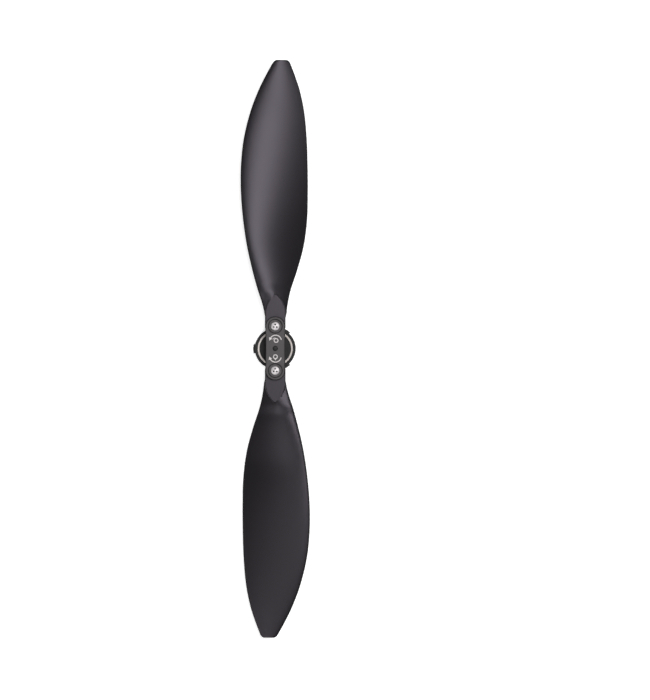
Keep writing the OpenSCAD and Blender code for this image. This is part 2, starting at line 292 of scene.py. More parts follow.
# %% Node group: rings left by turning
def turning_group():
    group, given, result = new_group("turned_rings", {"Centre Y": 0.0, "Line Scale": 1500.0}, ["Height"])
    place = node(group, "TexCoord").outputs["Object"]
    folded = node(group, "VectorMath", {0: place}, operation="ABSOLUTE").outputs[0]
    centre = node(group, "CombineXYZ", {"Y": given["Centre Y"]}).outputs[0]
    radial = node(group, "VectorMath", {0: folded, 1: centre}, operation="SUBTRACT").outputs[0]
    rings = node(group, "TexWave", {"Vector": radial, "Scale": given["Line Scale"], "Distortion": 0.6},
                 wave_type="RINGS", rings_direction="Z")
    feed(group, result, {"Height": rings.outputs["Fac"]})
    return group


turned_rings = turning_group()
print("group:", turned_rings.name)

# %% [markdown]
# ## Finishes
#
# A finish is a Principled shader with its constants on its own sockets. The groups only steer what
# changes over the surface: colour, roughness and the bump. `plastic` and `metal` set up that pattern, and
# each finish below gives it the numbers of one real material.

# %% Pattern for a moulded plastic
def place_group(tree, group, **values):
    made = tree.nodes.new("ShaderNodeGroup")
    made.node_tree = group
    for name, value in values.items():
        made.inputs[name.replace("_", " ")].default_value = value
    return made.outputs


def new_finish(name):
    material = bpy.data.materials.new(name)
    material.use_nodes = True
    return material, material.node_tree, material.node_tree.nodes["Principled BSDF"]


def plastic(name, dark, light, rough, grain_depth, grain_scale, patch_scale, worn, specular=0.5, gloss=(1, 1, 1)):
    material, tree, shader = new_finish(name)
    grain = place_group(tree, moulded_grain, Grain_Scale=grain_scale, Patch_Scale=patch_scale)
    wear = place_group(tree, rubbed_edges)
    shade = math_node(tree, "ADD", grain["Patches"], math_node(tree, "MULTIPLY", wear["Mask"], worn))
    bump = node(tree, "Bump", {"Height": grain["Height"], "Distance": grain_depth, "Strength": 1.0})
    feed(tree, shader, {
        "Base Color": tint(tree, shade, dark, light),
        "Roughness": spread(tree, grain["Patches"], *rough),
        "Specular IOR Level": specular,
        "Specular Tint": (*gloss, 1.0),
        "Normal": bump.outputs[0],
    })
    return material


# %% Plastics of the blades and the hub
blade_satin = plastic(
    "blade_satin", dark=(0.0070, 0.0065, 0.0074), light=(0.0090, 0.0084, 0.0095), rough=(0.37, 0.41),
    grain_depth=0.001 * MM, grain_scale=2600.0, patch_scale=35.0, worn=0.5, specular=0.32, gloss=(0.95, 0.86, 1.0))
base_matte = plastic(
    "base_matte", dark=(0.0050, 0.0047, 0.0050), light=(0.0080, 0.0075, 0.0080), rough=(0.50, 0.60),
    grain_depth=0.004 * MM, grain_scale=3200.0, patch_scale=120.0, worn=0.8, specular=0.25)
plate_grain = plastic(
    "plate_grain", dark=(0.052, 0.047, 0.049), light=(0.066, 0.060, 0.062), rough=(0.52, 0.60),
    grain_depth=0.006 * MM, grain_scale=3600.0, patch_scale=200.0, worn=1.0, specular=0.3)
ring_satin = plastic(
    "ring_satin", dark=(0.62, 0.56, 0.53), light=(0.70, 0.64, 0.61), rough=(0.45, 0.55),
    grain_depth=0.002 * MM, grain_scale=3000.0, patch_scale=150.0, worn=0.3)
washer_matte = plastic(
    "washer_matte", dark=(0.068, 0.062, 0.064), light=(0.086, 0.079, 0.081), rough=(0.52, 0.62),
    grain_depth=0.004 * MM, grain_scale=3600.0, patch_scale=200.0, worn=0.6, specular=0.3)
shim_black = plastic(
    "shim_black", dark=(0.0030, 0.0028, 0.0030), light=(0.0050, 0.0047, 0.0050), rough=(0.55, 0.65),
    grain_depth=0.002 * MM, grain_scale=3000.0, patch_scale=200.0, worn=0.2, specular=0.15)
print("plastics: blade_satin, base_matte, plate_grain, ring_satin, washer_matte, shim_black")

# %% Ink, and painted shade for holes and pockets
mark_ink = plastic(
    "mark_ink", dark=(0.58, 0.545, 0.545), light=(0.66, 0.62, 0.62), rough=(0.55, 0.65),
    grain_depth=0.002 * MM, grain_scale=4000.0, patch_scale=800.0, worn=0.0)
# painted shade: a dark finish for the insides of the screws' drive holes, where shade falls
painted_hole_shade = plastic(
    "painted_hole_shade", dark=(0.016, 0.014, 0.013), light=(0.034, 0.031, 0.029), rough=(0.60, 0.75),
    grain_depth=0.004 * MM, grain_scale=4000.0, patch_scale=900.0, worn=0.0, specular=0.2)
# painted shade: a darker finish for the floor and wall of the screw pockets
painted_pocket_shade = plastic(
    "painted_pocket_shade", dark=(0.026, 0.024, 0.025), light=(0.040, 0.036, 0.037), rough=(0.60, 0.70),
    grain_depth=0.004 * MM, grain_scale=3600.0, patch_scale=300.0, worn=0.0, specular=0.2)
print("films: mark_ink, painted_hole_shade, painted_pocket_shade")

# %% Pattern for a turned or blackened metal
def metal(name, dark, light, rough, centre_y, line_depth, line_scale):
    material, tree, shader = new_finish(name)
    grain = place_group(tree, moulded_grain, Grain_Scale=1800.0, Patch_Scale=600.0)
    rings = place_group(tree, turned_rings, Centre_Y=centre_y, Line_Scale=line_scale)
    bump = node(tree, "Bump", {"Height": rings["Height"], "Distance": line_depth, "Strength": 1.0})
    feed(tree, shader, {
        "Base Color": tint(tree, grain["Patches"], dark, light),
        "Roughness": spread(tree, grain["Patches"], *rough),
        "Metallic": 1.0,
        "Normal": bump.outputs[0],
    })
    return material


# %% Screw, nut and bush metals
screw_polish = metal(
    "screw_polish", dark=(0.60, 0.575, 0.58), light=(0.68, 0.65, 0.66), rough=(0.58, 0.66),
    centre_y=pivot_y, line_depth=0.0006 * MM, line_scale=900.0)
steel_dark = metal(
    "steel_dark", dark=(0.16, 0.16, 0.165), light=(0.26, 0.26, 0.265), rough=(0.34, 0.46),
    centre_y=pivot_y, line_depth=0.001 * MM, line_scale=900.0)
screw_black = metal(
    "screw_black", dark=(0.14, 0.14, 0.145), light=(0.22, 0.22, 0.225), rough=(0.36, 0.48),
    centre_y=0.0, line_depth=0.0, line_scale=900.0)
bush_brass = metal(
    "bush_brass", dark=(0.62, 0.45, 0.20), light=(0.75, 0.57, 0.29), rough=(0.22, 0.34),
    centre_y=0.0, line_depth=0.001 * MM, line_scale=700.0)
print("metals: screw_polish, steel_dark, screw_black, bush_brass")

# %% [markdown]
# ## From a bmesh to a piece
#
# Most pieces go the same way. Their mesh is welded, its faces are turned outwards and it becomes an
# object. Boolean modifiers join or cut closed meshes where several forms meet. Last, the piece is shaded
# smooth up to a limit angle, gets its finish, rides on a body and stands in for its solid.

# %% Helpers that turn meshes into pieces
WELD = 0.001 * MM
SHARP = math.radians(35)


def piece_from(bm, name):
    bmesh.ops.remove_doubles(bm, verts=bm.verts, dist=WELD)
    bmesh.ops.recalc_face_normals(bm, faces=bm.faces)
    mesh = bpy.data.meshes.new(name)
    bm.to_mesh(mesh)
    bm.free()
    piece = bpy.data.objects.new(name, mesh)
    bpy.context.scene.collection.objects.link(piece)
    return piece


def combine(piece, operation, tool_bm):
    """Unites the piece with another closed mesh, cuts it with that, or keeps what both share."""
    tool = piece_from(tool_bm, "tool")
    boolean = piece.modifiers.new("combine", "BOOLEAN")
    boolean.operation = operation
    boolean.solver = "EXACT"
    boolean.object = tool
    result = bpy.data.meshes.new_from_object(piece.evaluated_get(bpy.context.evaluated_depsgraph_get()))
    piece.modifiers.clear()
    piece.data = result
    bpy.data.objects.remove(tool)


def opposite(piece, name):
    """The same piece on the other side of the spin axis: half a turn about Z."""
    mesh = piece.data.copy()
    mesh.transform(Matrix.Rotation(math.pi, 4, "Z"))
    twin = bpy.data.objects.new(name, mesh)
    bpy.context.scene.collection.objects.link(twin)
    return twin


def dress(piece, finish, body, *nodes):
    piece.data.materials.clear()
    piece.data.materials.append(finish)
    piece.data.shade_smooth()
    piece.data.set_sharp_from_angle(angle=SHARP)
    piece.modifiers.new("even_shading", "WEIGHTED_NORMAL").keep_sharp = True
    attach(piece, body)
    if nodes:
        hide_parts(*nodes)
    print("%s: %d faces on %s" % (piece.name, len(piece.data.polygons), body))


def dress_pair(piece, name, finish, node_name):
    """Dresses a piece at pivot a and its twin at pivot b."""
    twin = opposite(piece, name + "_b")
    dress(piece, finish, "hub", node_name + "_a")
    dress(twin, finish, "hub", node_name + "_b")


# %% [markdown]
# ## The blades
#
# A blade is a twisted wing that grows out of a flat root. It could be sculpted, or subdivided from a rough
# cage, but then its edges would drift off the solid. Here a flat grid is bent into the wing by the formulas
# that the solid uses: one direction of the grid runs from root to tip, the other runs once round the
# section. The edges follow a smooth curve through a few stations, given as shares of the blade.

# %% Plan of the blade
BLADE_CHORD = 38.5 * MM
TIP_CORNER = 1.7 * MM
ROOT_STRAIGHT = 7.5 * MM
PAD_L = 18.8 * MM
tip_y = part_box("blade_a")[1].y
blade_l = tip_y - pivot_y
root_w = 2 * (pivot_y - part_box("blade_a")[0].y)
LEAD, TRAIL = 1, 2
PLAN = [
    (0.00, root_w / 2 / BLADE_CHORD, root_w / 2 / BLADE_CHORD),
    (0.05, 0.164, 0.169),
    (0.09, 0.200, 0.189),
    (0.14, 0.265, 0.234),
    (0.21, 0.340, 0.325),
    (0.30, 0.420, 0.422),
    (0.40, 0.478, 0.475),
    (0.50, 0.510, 0.486),
    (0.60, 0.510, 0.483),
    (0.70, 0.470, 0.470),
    (0.80, 0.376, 0.435),
    (0.88, 0.259, 0.372),
    (0.94, 0.145, 0.296),
    (1.00, 0.014, 0.203),
]


def plan_slope(i, side):
    before = PLAN[max(i - 1, 0)]
    after = PLAN[min(i + 1, len(PLAN) - 1)]
    return 0.0 if i == 0 else (after[side] - before[side]) / (after[0] - before[0])


def plan_share(u, side):
    i = max(k for k in range(len(PLAN) - 1) if k == 0 or u >= PLAN[k][0])
    span = PLAN[i + 1][0] - PLAN[i][0]
    t = (u - PLAN[i][0]) / span
    start, end = PLAN[i][side], PLAN[i + 1][side]
    pull_start, pull_end = plan_slope(i, side) * span, plan_slope(i + 1, side) * span
    return (start * (1 + 2 * t) * (1 - t) ** 2 + pull_start * t * (1 - t) ** 2
            + end * t * t * (3 - 2 * t) - pull_end * t * t * (1 - t))


def corner_inset(s):
    past = max(0.0, s - (blade_l - TIP_CORNER))
    return TIP_CORNER - math.sqrt(max(0.0, TIP_CORNER ** 2 - past ** 2))


def edge(s, side):
    return plan_share(s / blade_l, side) * BLADE_CHORD - corner_inset(s)


print("blade %.1f mm long, root %.1f mm wide" % (blade_l / MM, root_w / MM))

# %% [markdown]
# Seen end-on, each section is an aerofoil with a rounded nose and a thin tail. Near the root it becomes a
# ridge: a soft crest in the middle, a gentle fall to a blunt nose, and a steeper fall to the tail.
#
# The twist fades out towards the root too. The solid ends that fade at one station, which would show as a
# line in the reflection, so here it ends softly. Past the point of the flat root the whole blade steps down
# a little and catches the light.

# %% Twist and height along the blade
PITCH = 114 * MM
BLEND_L = 30 * MM
TWIST_L = 56 * MM
TWIST_SOFT = 0.12
LINE_RISE = 0.3 * MM
STEP_H, STEP_L = 0.7 * MM, 7.0 * MM


def mix(a, b, t):
    return a + (b - a) * t


def smooth(t):
    t = min(max(t, 0.0), 1.0)
    return t * t * (3 - 2 * t)


def blend(s):
    return smooth((s - ROOT_STRAIGHT) / (BLEND_L - ROOT_STRAIGHT))


def twist_share(s):
    """From no twist at the pivot to all of it from about TWIST_L on."""
    t = s / TWIST_L
    ramp = min(t, 1.0)
    if abs(t - 1) < TWIST_SOFT:
        ramp = 1 - (1 + TWIST_SOFT - t) ** 2 / (4 * TWIST_SOFT)
    return (smooth(t) + ramp) / 2


def line_z(s):
    """Height of the line that the sections turn about: above the root's middle, and lower past the pad."""
    return blade_z + LINE_RISE - STEP_H * smooth((s - PAD_L) / STEP_L)


def twist_slope(s):
    return math.tan(math.atan(PITCH / (math.tau * (s + pivot_y))) * twist_share(s))


print("twist line from z = %.2f to %.2f mm" % (line_z(0) / MM, line_z(blade_l) / MM))

# %% [markdown]
# The thickness is a mix of the ridge and of the aerofoil, in which the ridge fades out sooner on the tail
# side. Tail and tip are closed by quarter circles, where a plain loft would end in a blunt strip.

# %% Thickness round the section
ROOT_T, TIP_T, TAIL_T = 4.0 * MM, 1.0 * MM, 0.5 * MM
CREST_DROP = 0.05 * MM
TAPER_POWER = 0.9
# Weights of the square root and of the first to fourth power of the share of the chord
FOIL = (2.969, -1.26, -3.516, 2.843, -1.036)
CREST_ROUND, NOSE_FALL, NOSE_FALL_L, BLUNT_POWER = 0.2, 0.8, 0.85 * PAD_L, 20
TAIL_FALL_POWER, TAIL_CLOSE_POWER = 1.6, 0.8
TAIL_SIDE_FROM, TAIL_SIDE_OVER = 0.35, 0.3
TAIL_LEAST = 0.2


def quarter_circle(distance, radius):
    """1 inside, and down to 0 along a quarter circle over the last radius before the end."""
    short = max(0.0, 1.0 - distance / radius) if radius > 0 else 0.0
    return math.sqrt(max(0.0, 1.0 - short * short))


def nose_ridge(s, u):
    """Form of the root from its crest (u = 0) to the leading edge (u = 1): a gentle fall and a blunt end."""
    fall = (math.hypot(u, CREST_ROUND) - CREST_ROUND) / (math.hypot(1, CREST_ROUND) - CREST_ROUND)
    return (1 - NOSE_FALL * min(1.0, s / NOSE_FALL_L) * fall) * math.sqrt(max(0.0, 1 - u ** BLUNT_POWER))


def tail_ridge(u):
    """Form of the root from its crest (u = 0) to the trailing edge (u = 1)."""
    return max(0.0, 1 - u ** TAIL_FALL_POWER) ** TAIL_CLOSE_POWER


def half_thickness(s, c, chord):
    """Half the thickness at a share c of the chord, from the leading edge (0) to the trailing edge (1)."""
    foil = FOIL[0] * math.sqrt(c) + sum(weight * c ** power for power, weight in enumerate(FOIL[1:], 1))
    ridge = nose_ridge(s, 1 - 2 * c) if c < 0.5 else tail_ridge(2 * c - 1)
    thick = mix(TIP_T, ROOT_T, max(0.0, 1 - s / blade_l) ** TAPER_POWER)
    thick = mix(root_top - root_z - 2 * (LINE_RISE + CREST_DROP), thick, blend(s))
    tail_side = smooth((c - TAIL_SIDE_FROM) / TAIL_SIDE_OVER)
    form = mix(ridge, foil, mix(blend(s), smooth(s / PAD_L), tail_side))
    tail = TAIL_T / 2 * mix(TAIL_LEAST, 1.0, blend(s))
    half = thick / 2 * form + tail * c
    return half * quarter_circle((1 - c) * chord, tail) * quarter_circle(blade_l - s, TIP_T / 2)


print("blade %.2f mm thick at a quarter of its length" % (2 * half_thickness(blade_l / 4, 0.3, BLADE_CHORD) / MM))

# %% [markdown]
# With chord, twist and thickness known, every point of the wing follows from two numbers: the distance from
# the pivot, and the share of the way round the section.

# %% Bend a grid into the wing
CAMBER = 0.035
TWIST_LINE = 0.7
WING_START = ROOT_STRAIGHT / 4
TUCK = 0.12
SPAN_STEPS = 150
LOOP_STEPS = 96
TIP_ZONE = 3.0 * MM
BODY_SHARE = 0.88


def wing_point(s, around):
    tucked = 1 - TUCK * (1 - smooth((s - WING_START) / (ROOT_STRAIGHT - WING_START)))
    lead, trail = edge(s, LEAD) * tucked, edge(s, TRAIL) * tucked
    c = (1 + math.cos(math.tau * around)) / 2
    x = mix(-lead, trail, c)
    rise = CAMBER * (lead + trail) * 4 * c * (1 - c) * blend(s)
    face = 1 if around < 0.5 else -1
    fall = (x + TWIST_LINE * twist_share(s) * edge(s, LEAD)) * twist_slope(s)
    z = line_z(s) - fall + rise + face * half_thickness(s, c, lead + trail)
    return Vector((x, pivot_y + s, z))


def station(along):
    """Distance from the pivot: even steps along the blade, then ever finer ones round the tip."""
    if along < BODY_SHARE:
        return mix(WING_START, blade_l - TIP_ZONE, along / BODY_SHARE)
    turn = (along - BODY_SHARE) / (1 - BODY_SHARE) * math.pi / 2
    return blade_l - TIP_ZONE * (1 - math.sin(turn))


def wing():
    bm = bmesh.new()
    bmesh.ops.create_grid(bm, x_segments=SPAN_STEPS, y_segments=LOOP_STEPS, size=1.0)
    for vert in bm.verts:
        vert.co = wing_point(station((vert.co.x + 1) / 2), (vert.co.y + 1) / 2)
    bmesh.ops.remove_doubles(bm, verts=bm.verts, dist=WELD)
    bmesh.ops.holes_fill(bm, edges=[e for e in bm.edges if e.is_boundary])
    return bm


print("wing: %d steps along, %d round the section" % (SPAN_STEPS, LOOP_STEPS))

# %% [markdown]
# The root is a flat pad: round about the pivot, straight, then a pointed arch like a church window. Its
# outline is drawn by spinning one vertex about three centres, filled, pulled up and bevelled. A union with
# the wing then leaves a crisp step on the tail side, where the wing falls away, and a softer one on the
# nose side. The wing starts inside the pad, a little narrower, so no end face shows.

# %% Helpers that draw an outline and raise it
ARC_STEPS = 24
ROUND_STEPS = 5
ROD_STEPS = 48
CUT = 1.0 * MM


def spin_on(bm, vert, centre, degrees):
    """Draws an arc from a vertex and gives back the vertex at its end."""
    swept = bmesh.ops.spin(bm, geom=[vert], cent=centre, axis=(0, 0, 1), angle=math.radians(degrees),
                           steps=ARC_STEPS)
    return next(v for v in swept["geom_last"] if isinstance(v, bmesh.types.BMVert))


def line_to(bm, vert, place):
    end = bmesh.ops.extrude_vert_indiv(bm, verts=[vert])["verts"][0]
    end.co = place
    return end


def raise_face(bm, height, top_round, foot_round):
    """Pulls the only face up into a block and rounds its upper and its lower rim."""
    foot_z = bm.verts[:][0].co.z
    pulled = bmesh.ops.extrude_face_region(bm, geom=bm.faces[:])["geom"]
    bmesh.ops.translate(bm, verts=[v for v in pulled if isinstance(v, bmesh.types.BMVert)], vec=(0, 0, height))
    bmesh.ops.recalc_face_normals(bm, faces=bm.faces)
    for rim_z, rounding in ((foot_z + height, top_round), (foot_z, foot_round)):
        rim = [e for e in bm.edges if all(abs(v.co.z - rim_z) < WELD for v in e.verts)]
        bmesh.ops.bevel(bm, geom=rim, offset=rounding, offset_type="OFFSET", segments=ROUND_STEPS, profile=0.5,
                        affect="EDGES", material=-1, clamp_overlap=True)


def rod(radius, low, high, y=0.0, steps=ROD_STEPS):
    bm = bmesh.new()
    bmesh.ops.create_cone(bm, cap_ends=True, segments=steps, radius1=radius, radius2=radius, depth=high - low)
    bmesh.ops.translate(bm, verts=bm.verts, vec=(0, y, (low + high) / 2))
    return bm


print("outlines: arcs of %d steps, roundings of %d" % (ARC_STEPS, ROUND_STEPS))

# %% Flat root pad, united with the wing
PAD_TOP_ROUND, PAD_FOOT_ROUND = 1.0 * MM, 0.3 * MM
BORE_R = 2.25 * MM


def root_pad():
    half_w = root_w / 2
    arch_h = PAD_L - ROOT_STRAIGHT
    arc_r = (half_w ** 2 + arch_h ** 2) / root_w
    arch_turn = math.degrees(math.asin(arch_h / arc_r))
    spring_y = pivot_y + ROOT_STRAIGHT
    bm = bmesh.new()
    foot_right = bm.verts.new((half_w, pivot_y, root_z))
    shoulder_right = line_to(bm, foot_right, (half_w, spring_y, root_z))
    spin_on(bm, shoulder_right, (half_w - arc_r, spring_y, root_z), arch_turn)
    foot_left = spin_on(bm, foot_right, (0, pivot_y, root_z), -180)
    shoulder_left = line_to(bm, foot_left, (-half_w, spring_y, root_z))
    spin_on(bm, shoulder_left, (arc_r - half_w, spring_y, root_z), -arch_turn)
    bmesh.ops.remove_doubles(bm, verts=bm.verts, dist=WELD)
    bmesh.ops.contextual_create(bm, geom=bm.edges[:])
    raise_face(bm, root_top - root_z, PAD_TOP_ROUND, PAD_FOOT_ROUND)
    return bm


moulded_blade_a = piece_from(wing(), "moulded_blade_a")
combine(moulded_blade_a, "UNION", root_pad())
combine(moulded_blade_a, "DIFFERENCE", rod(BORE_R, root_z - CUT, root_top + CUT, pivot_y))
moulded_blade_b = opposite(moulded_blade_a, "moulded_blade_b")
dress(moulded_blade_a, blade_satin, "blade_a", "blade_a")
dress(moulded_blade_b, blade_satin, "blade_b", "blade_b")

# %% [markdown]
# ## Turned parts
#
# Washers, rings, screws and the round base are all turned shapes. A lathe needs only half an outline: a
# face of a few corners, whose corners are rounded with a vertex bevel, and whose rim is then spun once
# round the axis. Corners on the axis close into a pole.

# %% A lathe for outlines
TURN_STEPS = 72
RIM_STEPS = 120
CORNER_STEPS = 3


def lathe(corners, steps=TURN_STEPS):
    """Spins an outline of corners (radius, height, rounding) about the Z axis."""
    bm = bmesh.new()
    marked = [(bm.verts.new((radius, 0.0, height)), rounding) for radius, height, rounding in corners]
    bm.faces.new([vert for vert, rounding in marked])
    for vert, rounding in marked:
        if rounding > 0:
            bmesh.ops.bevel(bm, geom=[vert], offset=rounding, offset_type="OFFSET", segments=CORNER_STEPS,
                            profile=0.5, affect="VERTICES", material=-1, clamp_overlap=True)
    bmesh.ops.delete(bm, geom=bm.faces[:], context="FACES_KEEP_BOUNDARY")
    on_axis = [e for e in bm.edges if all(v.co.x < WELD for v in e.verts)]
    bmesh.ops.delete(bm, geom=on_axis, context="EDGES")
    bmesh.ops.spin(bm, geom=bm.verts[:] + bm.edges[:], cent=(0, 0, 0), axis=(0, 0, 1),
                   angle=math.tau, steps=steps, use_merge=True)
    return bm


def tube(outer, inner, low, high, rounding):
    return lathe([(inner, low, rounding), (outer, low, rounding), (outer, high, rounding), (inner, high, rounding)])


def at_pivot(bm, side=1):
    bmesh.ops.translate(bm, verts=bm.verts, vec=(0, side * pivot_y, 0))
    return bm


print("lathe: %d steps a turn, %d for large rims" % (TURN_STEPS, RIM_STEPS))

# %% [markdown]
# ## The clamp plate
#
# The plate is a bar with round ends. A circle makes both ends at once: its upper half moves to one pivot
# and its lower half to the other, which leaves two straight sides between them. A turned cutter sinks the
# two screw pockets, with a small chamfer at their rim, and a third one drills the hole in the middle. The
# pockets' faces get a darker finish of their own, a painted shade for the shade that falls inside them.

# %% Bars, cutters and second finishes
END_STEPS = 48


def round_bar(half_w, low, high, top_round, foot_round):
    bm = bmesh.new()
    bmesh.ops.create_circle(bm, cap_ends=True, segments=2 * END_STEPS, radius=half_w)
    bmesh.ops.rotate(bm, verts=bm.verts, matrix=Matrix.Rotation(math.pi / 2 / END_STEPS, 3, "Z"))
    for vert in bm.verts:
        vert.co.y += math.copysign(pivot_y, vert.co.y)
        vert.co.z = low
    raise_face(bm, high - low, top_round, foot_round)
    return bm


def merge(*parts):
    """Several bmeshes as one, for a cutter with several teeth."""
    whole = bmesh.new()
    for part in parts:
        mesh = bpy.data.meshes.new("part")
        bmesh.ops.recalc_face_normals(part, faces=part.faces)
        part.to_mesh(mesh)
        part.free()
        whole.from_mesh(mesh)
        bpy.data.meshes.remove(mesh)
    return whole


def refinish(piece, finish, inside):
    """Gives the faces whose middle passes a test a finish of their own, such as painted shade in a pocket."""
    piece.data.materials.append(finish)
    for face in piece.data.polygons:
        if inside(face.center):
            face.material_index = len(piece.data.materials) - 1


def from_pivot(place):
    """Distance from the nearer pivot, seen from above."""
    return math.hypot(place.x, abs(place.y) - pivot_y)


def hole_cutter(radius, low, high, lip):
    """Drill for a flat-bottomed hole whose upper rim is chamfered."""
    return lathe([(0, low, 0), (radius, low, 0), (radius, high - lip, 0),
                  (radius + lip + CUT, high + CUT, 0), (0, high + CUT, 0)])


def pocket_cutter(hole, low, pocket, floor_z, high, lip):
    """Drill for a screw hole with a wide flat pocket above it."""
    return lathe([(0, low - CUT, 0), (hole, low - CUT, 0), (hole, floor_z, 0), (pocket, floor_z, 0),
                  (pocket, high - lip, 0), (pocket + lip + CUT, high + CUT, 0), (0, high + CUT, 0)])


print("bars with round ends of %d steps" % END_STEPS)

# %% Clamp plate with pockets
SCREW_HOLE_R = 1.35 * MM
POCKET_R = 4.2 * MM
CENTRE_HOLE_R = 1.45 * MM
LIP = 0.1 * MM
PLATE_ROUND, PLATE_FOOT_ROUND = 0.3 * MM, 0.15 * MM

plate_low, plate_top = floor_of("top_plate"), top_of("top_plate")
pocket_z = floor_of("screw_washer_a")


def in_pocket(at):
    return from_pivot(at) < POCKET_R + WELD and pocket_z - WELD < at.z < plate_top - LIP


clamp_plate = piece_from(
    round_bar(radius_of("top_plate"), plate_low, plate_top, PLATE_ROUND, PLATE_FOOT_ROUND), "clamp_plate")
combine(clamp_plate, "DIFFERENCE", merge(
    at_pivot(pocket_cutter(SCREW_HOLE_R, plate_low, POCKET_R, pocket_z, plate_top, LIP)),
    at_pivot(pocket_cutter(SCREW_HOLE_R, plate_low, POCKET_R, pocket_z, plate_top, LIP), -1),
    hole_cutter(CENTRE_HOLE_R, plate_low - CUT, plate_top, LIP),
))
dress(clamp_plate, plate_grain, "hub", "top_plate")
# painted shade on the pocket faces
refinish(clamp_plate, painted_pocket_shade, in_pocket)

# %% [markdown]
# ## Pivot screws and their washers
#
# Each blade swings on a bright screw with a low domed head. Three small holes in the head take a pin
# spanner. The dome is an arc in the outline of the lathe, and the holes are cut afterwards. Inside, below
# their mouth, the holes are painted darker: painted shade where little light reaches.

# %% Domed pivot screws
HEAD_H = 1.6 * MM
CROWN = 0.5 * MM
SHANK_R = 1.25 * MM
DRIVE_CIRCLE_R = 1.0 * MM
DRIVE_R = 0.5 * MM
DRIVE_DEPTH = 0.9 * MM
DRIVE_TURNS = (90, 210, 330)
DOME_STEPS = 10
HEAD_RIM_ROUND, HEAD_FOOT_ROUND, SHANK_END_ROUND = 0.18 * MM, 0.1 * MM, 0.2 * MM
PAINTED_SHADE_SHARE, UNPAINTED_MOUTH = 0.9, 0.1 * MM

screw_foot, screw_top = floor_of("pivot_screw_a"), top_of("pivot_screw_a")
head_r = radius_of("pivot_screw_a")
crown_r = (head_r ** 2 + CROWN ** 2) / (2 * CROWN)


def dome(share):
    """Point of the crown: share 0 on the axis, 1 at the rim of the head."""
    radius = head_r * share
    return (radius, screw_top - crown_r + math.sqrt(crown_r ** 2 - radius ** 2), 0)


def pivot_screw(side):
    seat_z = screw_top - HEAD_H
    outline = [dome(k / DOME_STEPS) for k in range(DOME_STEPS)]
    outline += [(*dome(1.0)[:2], HEAD_RIM_ROUND), (head_r, seat_z, HEAD_FOOT_ROUND), (SHANK_R, seat_z, 0),
                (SHANK_R, screw_foot, SHANK_END_ROUND), (0, screw_foot, 0)]
    return at_pivot(lathe(outline), side)


def drive_holes(side):
    teeth = []
    for turn in DRIVE_TURNS:
        tooth = hole_cutter(DRIVE_R, screw_top - DRIVE_DEPTH, screw_top, 0)
        place = Matrix.Rotation(math.radians(turn), 3, "Z") @ Vector((DRIVE_CIRCLE_R, 0, 0))
        bmesh.ops.translate(tooth, verts=tooth.verts, vec=place)
        teeth.append(at_pivot(tooth, side))
    return merge(*teeth)


# Faces inside this share of the head and below the mouth get the painted shade
def in_drive_hole(at):
    share = from_pivot(at) / head_r
    return share < PAINTED_SHADE_SHARE and screw_top - HEAD_H + CROWN < at.z < dome(share)[1] - UNPAINTED_MOUTH


for letter, side in (("a", 1), ("b", -1)):
    domed_screw = piece_from(pivot_screw(side), "domed_screw_" + letter)
    combine(domed_screw, "DIFFERENCE", drive_holes(side))
    dress(domed_screw, screw_polish, "hub", "pivot_screw_" + letter)
    # painted shade on the faces inside the drive holes
    refinish(domed_screw, painted_hole_shade, in_drive_hole)

# %% [markdown]
# A screw that clamped the blade itself would stop it from swinging. So a sleeve inside the root takes the
# clamping force, thin shims keep the root off the jaws, and a washer spreads the load of the screw's head.
# All are plain tubes at the pivots, and their heights come from the solids.

# %% Washers, shims and sleeves
SLEEVE_R = 2.2 * MM
WASHER_ROUND, SHIM_ROUND, SLEEVE_ROUND = 0.1 * MM, 0.06 * MM, 0.1 * MM


def tube_at(solid, outer, inner, rounding, name):
    """A tube as high as a solid, at pivot a."""
    return piece_from(at_pivot(tube(outer, inner, floor_of(solid), top_of(solid), rounding)), name)


washer_a = tube_at("screw_washer_a", radius_of("screw_washer_a"), SCREW_HOLE_R, WASHER_ROUND, "flat_washer_a")
dress_pair(washer_a, "flat_washer", washer_matte, "screw_washer")
for level in ("lower", "upper"):
    solid = level + "_shim"
    shim_a = tube_at(solid + "_a", radius_of(solid + "_a"), SLEEVE_R + RUNNING_GAP, SHIM_ROUND,
                     level + "_ring_shim_a")
    dress_pair(shim_a, level + "_ring_shim", shim_black, solid)
sleeve_a = tube_at("pivot_sleeve_a", SLEEVE_R, SCREW_HOLE_R, SLEEVE_ROUND, "spacer_sleeve_a")
dress_pair(sleeve_a, "spacer_sleeve", steel_dark, "pivot_sleeve")

# %% [markdown]
# ## The round hub
#
# The base is a turned disc with a groove for the marker ring and a stepped seat for the bush. Three lugs
# at its foot hook under the motor's catches. A lug is a slice of a larger, lower disc, so a wide disc is
# trimmed by two bisecting planes, and the slice is united with the base.

# %% Disc of the base
SEAT_GAP = 0.04 * MM
BASE_R = 11.75 * MM
RING_W = 1.0 * MM
BUSH_R, FLANGE_R = 4.0 * MM, 4.9 * MM
FLANGE_H = 0.8 * MM
BASE_FOOT_ROUND, BASE_TOP_ROUND, BASE_BORE_ROUND = 0.3 * MM, 0.35 * MM, 0.15 * MM
GROOVE_ROUND, SEAT_ROUND = 0.1 * MM, 0.05 * MM

base_top = top_of("bayonet_base")
ring_r = radius_of("id_ring")
ring_foot = floor_of("id_ring")
flange_z = base_top - FLANGE_H


